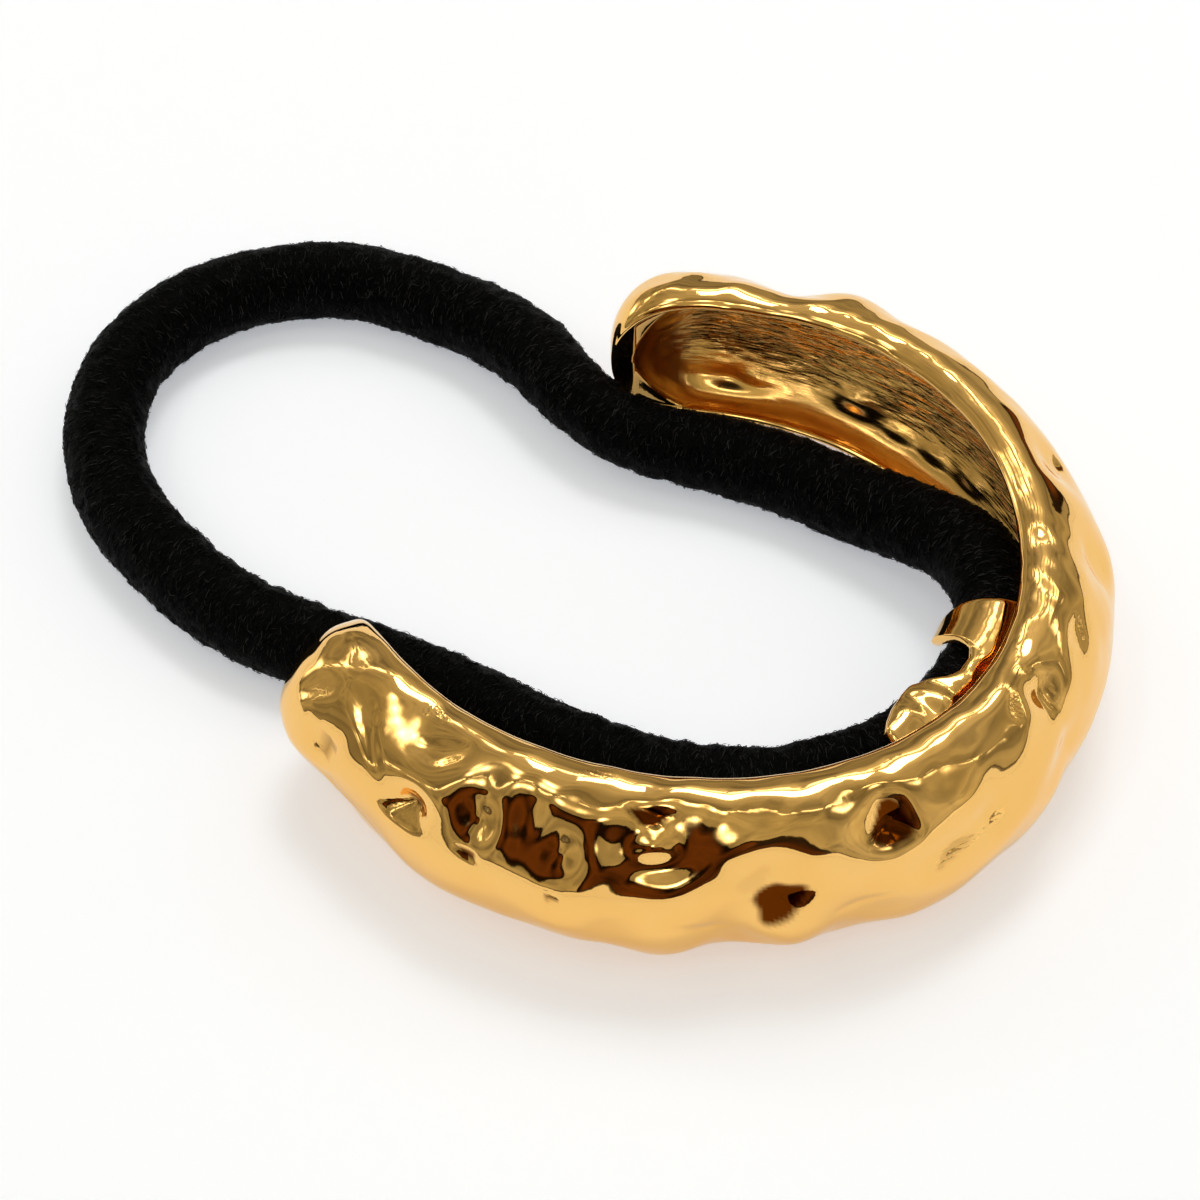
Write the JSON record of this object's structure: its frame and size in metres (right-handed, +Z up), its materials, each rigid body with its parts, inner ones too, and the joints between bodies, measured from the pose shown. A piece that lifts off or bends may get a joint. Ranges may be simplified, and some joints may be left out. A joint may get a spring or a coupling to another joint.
{
  "type": "ponytail cuff",
  "caption": "Molten-look gold ponytail cuff: an open hollow-backed hoop with rounded tips and a folded keeper, holding a thick black covered elastic loop.",
  "frame": {"origin": "on the floor, under the middle of the shell's box", "axes": "the cuff lies on its edge: +Z up, +X across the hoop towards the far limb, -Y at the front middle of the hoop, +Y towards its opening and the elastic loop"},
  "size_m": [0.0534, 0.0758, 0.013],
  "materials": {
    "gold_plate": "polished gold plate on a cast alloy",
    "covered_elastic": "fuzzy yarn cover, matt black"
  },
  "bodies": {
    "root": {"cuff": "gold_plate", "elastic": "covered_elastic"}
  },
  "joints": []
}
